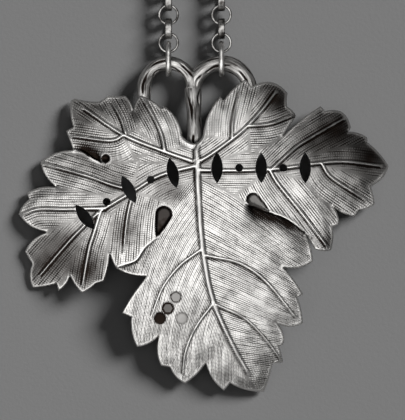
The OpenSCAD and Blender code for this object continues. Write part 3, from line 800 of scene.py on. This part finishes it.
class Nodes:
    """Short names for building a node tree."""

    def __init__(self, name):
        self.material = bpy.data.materials.new(name)
        self.material.use_nodes = True
        self.tree = self.material.node_tree
        self.tree.nodes.clear()
        self.shader = self.add("ShaderNodeBsdfPrincipled")
        output = self.add("ShaderNodeOutputMaterial")
        self.link(self.shader.outputs["BSDF"], output.inputs["Surface"])

    def add(self, kind, **values):
        """A new node with its properties set."""
        node = self.tree.nodes.new(kind)
        for key, value in values.items():
            setattr(node, key, value)
        return node

    def link(self, source, target):
        """Join an output to an input."""
        self.tree.links.new(source, target)

    def put(self, target, value):
        """Link a socket, or set a plain value."""
        if isinstance(value, bpy.types.NodeSocket):
            self.link(value, target)
        else:
            target.default_value = value

    def math(self, operation, a, b=0.0, clamp=False):
        """An operation on two values."""
        node = self.add("ShaderNodeMath", operation=operation, use_clamp=clamp)
        self.put(node.inputs[0], a)
        self.put(node.inputs[1], b)
        return node.outputs[0]

    def value(self, name):
        """A number that is stored on the piece."""
        return self.add("ShaderNodeAttribute", attribute_name=name).outputs["Fac"]

    def pair(self, x, y):
        """Two values as a vector."""
        node = self.add("ShaderNodeCombineXYZ")
        self.link(x, node.inputs["X"])
        self.link(y, node.inputs["Y"])
        return node.outputs["Vector"]

    def mix(self, share, a, b):
        """A share of one colour in another."""
        node = self.add("ShaderNodeMix", data_type="RGBA")
        self.put(node.inputs["Factor"], share)
        self.put(node.inputs["A"], a)
        self.put(node.inputs["B"], b)
        return node.outputs["Result"]

    def noise(self, scale, detail, place=None):
        """Noise on a place, or else on Object coordinates, in features to the unit."""
        node = self.add("ShaderNodeTexNoise")
        self.link(place or self.add("ShaderNodeTexCoord").outputs["Object"], node.inputs["Vector"])
        node.inputs["Scale"].default_value = scale
        node.inputs["Detail"].default_value = detail
        return node.outputs["Fac"]

    def cloud(self, scale, detail, *ranges):
        """Noise on Object coordinates with its range stretched."""
        return self.spread(self.noise(scale, detail), *ranges)

    def spread(self, value, low, high, to_low=0.0, to_high=1.0):
        """Stretch a range of values to another, and clamp it."""
        node = self.add("ShaderNodeMapRange")
        self.put(node.inputs["Value"], value)
        for key, number in zip(("From Min", "From Max", "To Min", "To Max"), (low, high, to_low, to_high)):
            node.inputs[key].default_value = number
        return node.outputs["Result"]

    def bump(self, height, distance, strength):
        """Tilt the shader's surface by a height."""
        node = self.add("ShaderNodeBump")
        node.inputs["Strength"].default_value = strength
        node.inputs["Distance"].default_value = distance
        self.link(height, node.inputs["Height"])
        self.link(node.outputs["Normal"], self.shader.inputs["Normal"])


def rgba(colour):
    """The colour as a socket takes it."""
    return (*colour, 1.0)


def grey(level):
    """A grey as a socket takes it."""
    return (level, level, level, 1.0)


def chased_silver(leaf):
    """Silver with woven engraved lines that follow the veins, burnished ridges with painted highlights, patina with
    painted shade, dark recesses, and painted shade under folds and beside veins.
    """
    n = Nodes("chased_silver")
    row, bead = n.value("rows"), n.value("beads")
    start = n.add("ShaderNodeTexWhiteNoise", noise_dimensions="1D")
    n.link(n.math("FLOOR", row), start.inputs["W"])
    bead_turn = n.math("ADD", bead, start.outputs["Value"])
    rows, beads = [n.math("POWER", n.math("ABSOLUTE", n.math("SINE", n.math("MULTIPLY", way, math.pi))),
                          SHARPNESS) for way in (row, bead_turn)]
    worn = n.cloud(*WEAR)
    matt = n.math("SUBTRACT", 1.0, n.value("polish_and_highlight"), clamp=True)
    deep = n.math("MULTIPLY", n.math("MULTIPLY", worn, matt), n.value("whole"))
    place = n.pair(n.math("MULTIPLY", row, STREAK_ROW), n.math("MULTIPLY", bead, STREAK_BEAD))
    streak = n.noise(1.0, STREAK_DETAIL, place)
    scored = n.spread(streak, *SCORED)
    dotted = n.math("ADD", n.math("MULTIPLY", n.value("patina_and_shade"), DOT_PATINA_AND_SHADE), DOT_BARE)
    cut = n.math("MAXIMUM", n.math("MULTIPLY", n.math("SUBTRACT", 1.0, rows), scored),
                 n.math("MULTIPLY", n.math("SUBTRACT", 1.0, beads), dotted))
    even = n.math("SUBTRACT", 1.0, n.value("whole"))
    cut = n.math("ADD", n.math("MULTIPLY", cut, deep), n.math("MULTIPLY", n.math("MULTIPLY", even, matt), EVEN_SOIL))
    clouds = n.cloud(*CLOUDS)
    spots = n.math("MULTIPLY", n.cloud(*SPOTS), n.value("whole"))
    # Dark of patina and painted shade from the patches, which the cuts hold more of.
    bare = n.math("MULTIPLY", n.math("SUBTRACT", 1.0, n.value("patina_and_shade")), n.cloud(*BARE))
    dark_patina_and_shade = n.math("SUBTRACT", 1.0, n.math("MULTIPLY", bare, n.spread(cut, *PATINA_SHADE_CUT)), clamp=True)
    held = n.math("ADD", n.math("MULTIPLY", matt, PATINA_SHADE_MATT), PATINA_SHADE_ON_SHINE)
    soil = n.math("ADD", n.math("ADD", clouds, spots), n.math("MULTIPLY", cut, CUT_SOIL))
    soil = n.math("MAXIMUM", n.math("MULTIPLY", soil, matt), n.math("MULTIPLY", dark_patina_and_shade, held))
    # Dark of recesses and of the midrib's top, and the cut lines beside veins with painted shade on one side.
    soil = n.math("ADD", soil, n.math("MULTIPLY", n.value("groove"), GROOVE_SOIL_AND_SHADE), clamp=True)
    frayed = n.math("MULTIPLY", n.math("SUBTRACT", streak, 0.5), FRAY)
    # Painted shade under each fold, frayed along the streaks of the rows.
    soil = n.math("ADD", soil, n.spread(n.math("ADD", n.value("shade"), frayed), *FOLD_SHADE_RANGE), clamp=True)
    n.link(n.mix(soil, rgba(leaf.silver), rgba(leaf.tarnish)), n.shader.inputs["Base Color"])
    n.shader.inputs["Metallic"].default_value = 1.0
    rough = n.math("ADD", n.cloud(*LEAF_ROUGH), n.math("MULTIPLY", matt, MATT_ROUGH))
    n.link(rough, n.shader.inputs["Roughness"])
    n.bump(n.math("MULTIPLY", cut, -1.0), *CUT_BUMP)
    return n.material


def barked_silver(leaf):
    """Silver with long grooves, dark in their bottoms and bright on their ridges, and streaks along the stem."""
    n = Nodes("barked_silver")
    fine = n.noise(1.0, BARK_DETAIL, n.add("ShaderNodeAttribute", attribute_name="grain").outputs["Vector"])
    soil = n.math("ADD", n.value("groove"), n.spread(fine, *BARK_SOIL), clamp=True)
    n.link(n.mix(soil, rgba(leaf.silver), rgba(leaf.tarnish)), n.shader.inputs["Base Color"])
    n.shader.inputs["Metallic"].default_value = 1.0
    n.link(n.spread(fine, *BARK_ROUGH), n.shader.inputs["Roughness"])
    n.bump(n.math("MULTIPLY", fine, -1.0), *BARK_BUMP)
    return n.material


def worn_silver(name, leaf, least, most):
    """Old silver wire: bright where it rubs, grey and brown between, with a least and a most soil."""
    n = Nodes(name)
    clouds = n.cloud(*WIRE_CLOUDS, least, most)
    n.link(n.mix(clouds, rgba(leaf.silver), rgba(leaf.tarnish)), n.shader.inputs["Base Color"])
    n.shader.inputs["Metallic"].default_value = 1.0
    n.link(n.cloud(*WIRE_ROUGH), n.shader.inputs["Roughness"])
    n.bump(n.noise(*WIRE_PITS), *WIRE_BUMP)
    return n.material


def matt_floor(stage):
    """Plain floor with a faint grain."""
    n = Nodes("matt_floor")
    grain = n.cloud(*FLOOR_GRAIN)
    n.link(n.mix(grain, rgba(stage.floor), grey(GRAIN_GREY)), n.shader.inputs["Base Color"])
    n.shader.inputs["Roughness"].default_value = FLOOR_ROUGH
    n.bump(n.noise(*FLOOR_PITS), *FLOOR_BUMP)
    return n.material


class LABEL_OT_leaf(bpy.types.Operator):
    """Make the chased leaf"""
    bl_idname = "wine_label.leaf"
    bl_label = "Leaf"

    def execute(self, context):
        leaf, _, _ = settings()
        rim = bulged_edges(MARGIN, RIM_STEPS)
        xy, faces = leaf_plan(leaf, rim)
        a, b, c = (xy[faces[:, k]] for k in range(3))
        turned = np.cross(b - a, c - a) < 0
        faces[turned] = faces[turned][:, ::-1]
        front, back, finish_and_light = leaf_surface(leaf, xy, faces, rim)
        points, triangles = closed_sheet(xy, faces, front, back)
        if not len(faces) or not np.isfinite(points).all():
            raise ValueError("The margin gave no leaf surface")
        piece = new_piece("chased_leaf", drawing_to_frame(points, rim), triangles, "label",
                          chased_silver(leaf), "leaf", LEAF_CREASE)
        plain = np.zeros(len(xy))
        add_values(piece, {k: np.concatenate([v, v if k in ("rows", "beads") else plain]) for k, v in finish_and_light.items()})
        return {"FINISHED"}


def tube(path, radius, around=AROUND):
    """A circle of changing radius carried along a path, with rounded ends."""
    run = np.gradient(path, axis=0)
    run /= np.linalg.norm(run, axis=1)[:, None]
    side = np.cross(run, [0.0, 0.0, 1.0])
    side /= np.linalg.norm(side, axis=1)[:, None]
    top = np.cross(side, run)
    way = path_way(path)
    turn = np.linspace(0, TAU, around, endpoint=False)
    from_end = np.clip(np.minimum(way, way[-1] - way) / radius, 0, 1)
    r = radius * np.maximum(np.sqrt(1 - (1 - from_end) ** 2), END_SHARE)
    ring = np.cos(turn)[None, :, None] * side[:, None] + np.sin(turn)[None, :, None] * top[:, None]
    points = (path[:, None] + r[:, None, None] * ring).reshape(-1, 3)
    k, j = np.meshgrid(np.arange(len(path) - 1), np.arange(around), indexing="ij")
    next_j = (j + 1) % around
    quads = np.stack([k * around + j, (k + 1) * around + j, (k + 1) * around + next_j, k * around + next_j], -1)
    return points, quads.reshape(-1, 4)


def fused(parts, voxel):
    """Points, normals and quads of one skin round overlapping closed parts, softened in some rounds."""
    first = np.cumsum([0] + [len(points) for points, _ in parts])
    mesh = bpy.data.meshes.new("rough")
    mesh.from_pydata(np.vstack([points for points, _ in parts]).tolist(), [],
                     np.vstack([quads + k for (_, quads), k in zip(parts, first)]).tolist())
    rough = bpy.data.objects.new("rough", mesh)
    bpy.context.scene.collection.objects.link(rough)
    skin = rough.modifiers.new("skin", "REMESH")
    skin.mode, skin.voxel_size = "VOXEL", voxel
    soft = rough.modifiers.new("soft", "SMOOTH")
    soft.factor, soft.iterations = SOFT_SHARE, SOFT_ROUNDS
    done = rough.evaluated_get(bpy.context.evaluated_depsgraph_get()).to_mesh()
    points, normals = np.empty(3 * len(done.vertices)), np.empty(3 * len(done.vertices))
    corners = np.empty(len(done.loops), int)
    done.vertices.foreach_get("co", points)
    done.vertex_normals.foreach_get("vector", normals)
    done.loops.foreach_get("vertex_index", corners)
    bpy.data.objects.remove(rough)
    bpy.data.meshes.remove(mesh)
    return points.reshape(-1, 3), normals.reshape(-1, 3), corners.reshape(-1, 4)


def bark(points, lines):
    """Depth of the bark, 0 to 1, and the place on it along and around, by the nearest of some middle lines.

    The depth is a clipped cosine of the turn about the line, which wavers, times a slow wave along it.
    """
    near = np.full(len(points), FAR)
    deep, grain = np.zeros(len(points)), np.zeros((len(points), 3))
    for seed, line in enumerate(lines, 1):
        d, t, side = to_segments(points[:, :2], line[:, :2])
        way = t * path_way(line)[-1]
        rise = points[:, 2] - np.interp(way, path_way(line), line[:, 2])
        turn = np.arctan2(rise, side * d)
        wave = sum(height * np.sin(pace * way + share * seed) for height, pace, share in BARK_WAVES)
        knot = ease(0.5 + KNOT_H * np.sin(KNOT_ALONG * way + KNOT_AROUND * np.sin(2 * turn + seed)))
        cuts = np.clip(CUT_START - np.abs(np.cos(CUT_TURNS * (turn + wave))) / CUT_WIDTH, 0, 1)
        cuts *= KNOT_LEAST + (1 - KNOT_LEAST) * knot
        won = np.hypot(d, rise) < near
        near = np.where(won, np.hypot(d, rise), near)
        deep = np.where(won, cuts, deep)
        place = np.stack([GRAIN_ALONG * way + seed, GRAIN_AROUND * np.cos(turn), GRAIN_AROUND * np.sin(turn)], -1)
        grain = np.where(won[:, None], place, grain)
    return deep, grain


class LABEL_OT_stem(bpy.types.Operator):
    """Make the looped vine stem"""
    bl_idname = "wine_label.stem"
    bl_label = "Vine stem"

    def execute(self, context):
        leaf, stem, _ = settings()
        rim = bulged_edges(MARGIN, RIM_STEPS)
        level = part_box("vine_stem")[0].z / MM + CAD_STEM_R
        foot_r = leaf.dome - leaf.sheet - stem.stalk_d / 2 + STALK_SET
        foot_z = dome_base(leaf, rim) + math.sqrt(foot_r ** 2 - ((np.array(STALK_FOOT) - DOME_TOP) ** 2).sum())
        foot = np.array([*STALK_FOOT, foot_z])

        def loop(r, sign):
            """Middle line of a loop: a straight root, half a circle, and a straight tail."""
            middle = np.array([STALK_LINE + sign * r, EYE_LEVEL - r, level])
            a = np.linspace(0, math.pi, ARC_STEPS)[:, None]
            arc = middle + r * np.hstack([sign * np.cos(math.pi - a), np.sin(a), 0 * a])
            down = np.linspace(0, 1, TAIL_STEPS)[1:, None]
            tail = middle + np.array([sign * r, 0, 0]) - down * [0, stem.tail, 0]
            root = arc[0] + np.linspace(ROOT_FROM, ROOT_TO, ROOT_STEPS)[:, None] * (foot - arc[0])
            return np.vstack([root, arc, tail])

        def lumps(height, first, last, count):
            """Thickness along a stem: one plus a sine."""
            return 1 + height * np.sin(np.linspace(first, last, count))

        left, right = loop(stem.left_r, -1), loop(stem.right_r, 1)
        top = np.array([STALK_LINE, EYE_LEVEL - stem.left_r, level])
        stalk = top + np.linspace(STALK_FROM, 1, STALK_STEPS)[:, None] * (foot - top)
        web = top + np.linspace(WEB_FROM, 1, WEB_STEPS)[:, None] * [0, WEB_REACH, 0]
        swell = lumps(*LOOP_LUMPS, len(left))
        grown = ROOT_SHARE + (1 - ROOT_SHARE) * ease(np.linspace(0, ROOT_TURNS, len(left)))
        parts = [tube(left, stem.left_d / 2 * grown * swell), tube(right, stem.right_d / 2 * grown * swell[::-1]),
                 tube(stalk, stem.stalk_d / 2 * lumps(*STALK_LUMPS, STALK_STEPS)),
                 tube(web, np.linspace(stem.stalk_d / 2, WEB_END, WEB_STEPS))]
        points, normals, quads = fused(parts, stem.voxel)
        if not len(quads):
            raise ValueError("The skin step left no stem")
        deep, grain = bark(points, [left[ROOT_STEPS:], right[ROOT_STEPS:], stalk])
        deep *= 1 - bell(away(points, top), FORK_CALM)
        points = points - normals * (stem.bark * deep)[:, None]
        piece = new_piece("barked_stem", drawing_to_frame(points, rim), quads, "label",
                          barked_silver(leaf), "vine_stem", STEM_CREASE)
        add_values(piece, {"groove": deep})
        layer = piece.data.attributes.new("grain", "FLOAT_VECTOR", "POINT")
        layer.data.foreach_set("vector", grain.astype(np.float32).ravel())
        return {"FINISHED"}


class LABEL_OT_chain(bpy.types.Operator):
    """Give the rings and links their worn silver"""
    bl_idname = "wine_label.chain"
    bl_label = "Rings and chain"

    def execute(self, context):
        leaf, _, _ = settings()
        finishes = {"ring_": worn_silver("ring_silver", leaf, *RING_SOIL),
                    "link_": worn_silver("link_silver", leaf, *LINK_SOIL)}
        if not any(name[:5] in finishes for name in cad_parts):
            raise ValueError("The frame has no rings or links")
        for name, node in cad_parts.items():
            if name[:5] in finishes:
                node.data.materials.clear()
                node.data.materials.append(finishes[name[:5]])
        return {"FINISHED"}


def new_lamp(name, kind, place, aim, power):
    """A lamp at a place, turned to a point, both in metres."""
    light = bpy.data.lights.new(name, kind)
    light.energy = power
    lamp = bpy.data.objects.new(name, light)
    lamp.location = place
    lamp.rotation_euler = (Vector(aim) - Vector(place)).to_track_quat("-Z", "Y").to_euler()
    lamp.visible_camera = False
    bpy.context.scene.collection.objects.link(lamp)
    return lamp


def area_lamp(name, place, aim, size, power):
    """A rectangular lamp at a place, turned to a point."""
    lamp = new_lamp(name, "AREA", place, aim, power)
    lamp.data.shape = "RECTANGLE"
    lamp.data.size, lamp.data.size_y = size
    return lamp


def studio_world():
    """A dim world that the camera and reflections see as a lighter grey."""
    world = bpy.data.worlds.new("studio")
    world.use_nodes = True
    tree = world.node_tree
    rays, tone, seen = (tree.nodes.new("ShaderNode" + kind) for kind in ("LightPath", "Mix", "Math"))
    tone.data_type, seen.operation = "RGBA", "MAXIMUM"
    tone.inputs["A"].default_value = grey(WORLD_LIGHT)
    tone.inputs["B"].default_value = grey(WORLD_SEEN)
    tree.links.new(rays.outputs["Is Camera Ray"], seen.inputs[0])
    tree.links.new(rays.outputs["Is Glossy Ray"], seen.inputs[1])
    tree.links.new(seen.outputs["Value"], tone.inputs["Factor"])
    tree.links.new(tone.outputs["Result"], tree.nodes["Background"].inputs["Color"])
    return world


def photo_camera(high, aim):
    """A camera straight above the aim, with the photograph's frame: its lens is its sensor times height over view."""
    camera = bpy.data.objects.new("camera", bpy.data.cameras.new("camera"))
    camera.location = aim + np.array([0, 0, high])
    camera.data.lens = camera.data.sensor_width * high / (IMAGE_H * PIXEL_MM * MM)
    camera.data.clip_end = CLIP_END
    bpy.context.scene.collection.objects.link(camera)
    return camera


class LABEL_OT_stage(bpy.types.Operator):
    """Make the floor, the light and the camera"""
    bl_idname = "wine_label.stage"
    bl_label = "Stage"

    def execute(self, context):
        _, _, stage = settings()
        scene = context.scene
        if stage.camera_h <= 0:
            raise ValueError("The camera has to be above the label")
        mesh = bpy.data.meshes.new("floor")
        corners = [(x * FLOOR_HALF, y * FLOOR_HALF, 0) for x, y in ((-1, -1), (1, -1), (1, 1), (-1, 1))]
        mesh.from_pydata(corners, [], [(0, 1, 2, 3)])
        mesh.materials.append(matt_floor(stage))
        floor = bpy.data.objects.new("floor", mesh)
        floor.location.z = FLOOR_LEVEL
        scene.collection.objects.link(floor)
        rim = bulged_edges(MARGIN, RIM_STEPS)
        middle_px = np.array([IMAGE_W / 2 - ORIGIN_X, ORIGIN_Y - IMAGE_H / 2, AIM_H]) * PIXEL_MM
        aim = drawing_to_frame(middle_px, rim)
        soft = area_lamp("soft_box", aim + np.array(SOFT_PLACE), aim, SOFT_SIZE, stage.soft_power)
        soft.visible_diffuse = False
        key = new_lamp("key", "SUN", aim + np.array(KEY_PLACE), aim, stage.key_strength)
        key.data.angle = KEY_ANGLE
        key.visible_glossy = False
        area_lamp("fill", aim + np.array(FILL_PLACE), aim, FILL_SIZE, stage.fill_power)
        scene.world = studio_world()
        scene.camera = photo_camera(stage.camera_h * MM, aim)
        scene.view_settings.view_transform = "Standard"
        return {"FINISHED"}


class LABEL_PT_panel(bpy.types.Panel):
    """The label's settings and its pieces"""
    bl_label = "Wine Label"
    bl_idname = "LABEL_PT_panel"
    bl_space_type = "VIEW_3D"
    bl_region_type = "UI"
    bl_category = "Wine Label"

    def draw(self, context):
        for group in groups():
            box = self.layout.box()
            for key in group.__annotations__:
                box.prop(group, key)
        for operator in OPERATORS:
            self.layout.operator(operator.bl_idname)


OPERATORS = (LABEL_OT_leaf, LABEL_OT_stem, LABEL_OT_chain, LABEL_OT_stage)
CLASSES = (LeafSettings, StemSettings, StageSettings, *OPERATORS, LABEL_PT_panel)


def register():
    """Register the classes and hang the settings on the scene."""
    for item in CLASSES:
        bpy.utils.register_class(item)
    bpy.types.Scene.label_leaf = bpy.props.PointerProperty(type=LeafSettings)
    bpy.types.Scene.label_stem = bpy.props.PointerProperty(type=StemSettings)
    bpy.types.Scene.label_stage = bpy.props.PointerProperty(type=StageSettings)


def unregister():
    """Undo the registration, in reverse."""
    del bpy.types.Scene.label_stage
    del bpy.types.Scene.label_stem
    del bpy.types.Scene.label_leaf
    for item in reversed(CLASSES):
        bpy.utils.unregister_class(item)


def main():
    """Make all pieces and the stage."""
    register()
    bpy.ops.wine_label.leaf()
    bpy.ops.wine_label.stem()
    bpy.ops.wine_label.chain()
    bpy.ops.wine_label.stage()


if __name__ == "__main__":
    main()
